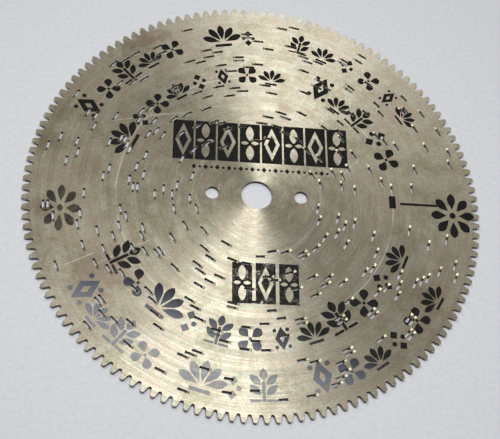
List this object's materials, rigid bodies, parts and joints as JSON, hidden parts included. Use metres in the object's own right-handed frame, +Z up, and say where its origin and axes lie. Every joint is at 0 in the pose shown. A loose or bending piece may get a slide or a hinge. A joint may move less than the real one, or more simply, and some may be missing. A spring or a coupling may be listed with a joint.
{
  "type": "music box tune disc",
  "caption": "Round stamped steel tune disc with a toothed rim, spindle hole, drive holes and note slots whose punched strips fold under as projections",
  "frame": {"origin": "on the spindle axis, at the level of the surface that the disc's projections rest on", "axes": "+Z up along the spindle axis, +X along the line of the two drive holes through the start mark, +Y towards the top of the print"},
  "size_m": [0.235, 0.235, 0.0026],
  "materials": {
    "sheet_steel": "warm grey plated steel, brushed in circles, lightly stained"
  },
  "bodies": {
    "root": {"tune_disc": "sheet_steel"}
  },
  "joints": []
}
